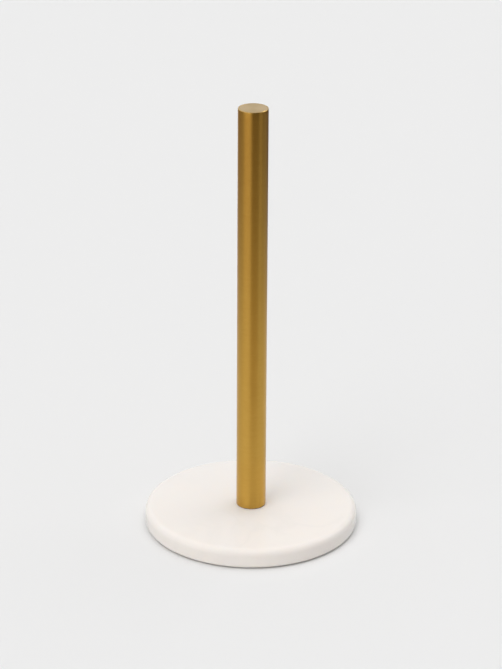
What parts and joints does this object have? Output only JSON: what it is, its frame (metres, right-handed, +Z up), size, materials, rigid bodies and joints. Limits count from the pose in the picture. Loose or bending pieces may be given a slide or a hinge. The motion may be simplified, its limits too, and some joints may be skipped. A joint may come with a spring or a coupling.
{
  "type": "paper towel holder",
  "caption": "Free-standing paper towel holder: a slim straight round post screwed upright to the middle of a low round stone base on thin feet.",
  "frame": {"origin": "middle of the base, on the table that the feet stand on", "axes": "+Z up along the post; -Y is the front, towards foot_front, and +X is the right, towards foot_right"},
  "size_m": [0.16, 0.16, 0.3302],
  "materials": {
    "marble": "polished",
    "satin_brass": "satin",
    "bare_steel": "turned",
    "zinc_steel": "zinc plated",
    "gasket_rubber": "matte",
    "foot_rubber": "matte"
  },
  "bodies": {
    "base": {"marble_base": "marble", "base_bolt": "zinc_steel", "lock_washer": "zinc_steel", "flat_washer": "zinc_steel", "foot_right": "foot_rubber", "foot_back": "foot_rubber", "foot_left": "foot_rubber", "foot_front": "foot_rubber"},
    "gasket": {"post_gasket": "gasket_rubber"},
    "post": {"post_tube": "satin_brass", "top_cap": "satin_brass", "threaded_plug": "bare_steel"}
  },
  "joints": [
    {"name": "post_turn", "type": "hinge", "parent": "base", "child": "gasket", "pos_m": [0, 0, 0.0149], "axis": [0, 0, 1], "range_deg": [0, 3960]},
    {"name": "post_rise", "type": "slide", "parent": "gasket", "child": "post", "axis": [0, 0, 1], "range_m": [0, 0.01375]}
  ],
  "couplings": [
    {"joint": "post_turn", "follows": "post_rise", "rad_per_m": 5026.5}
  ]
}
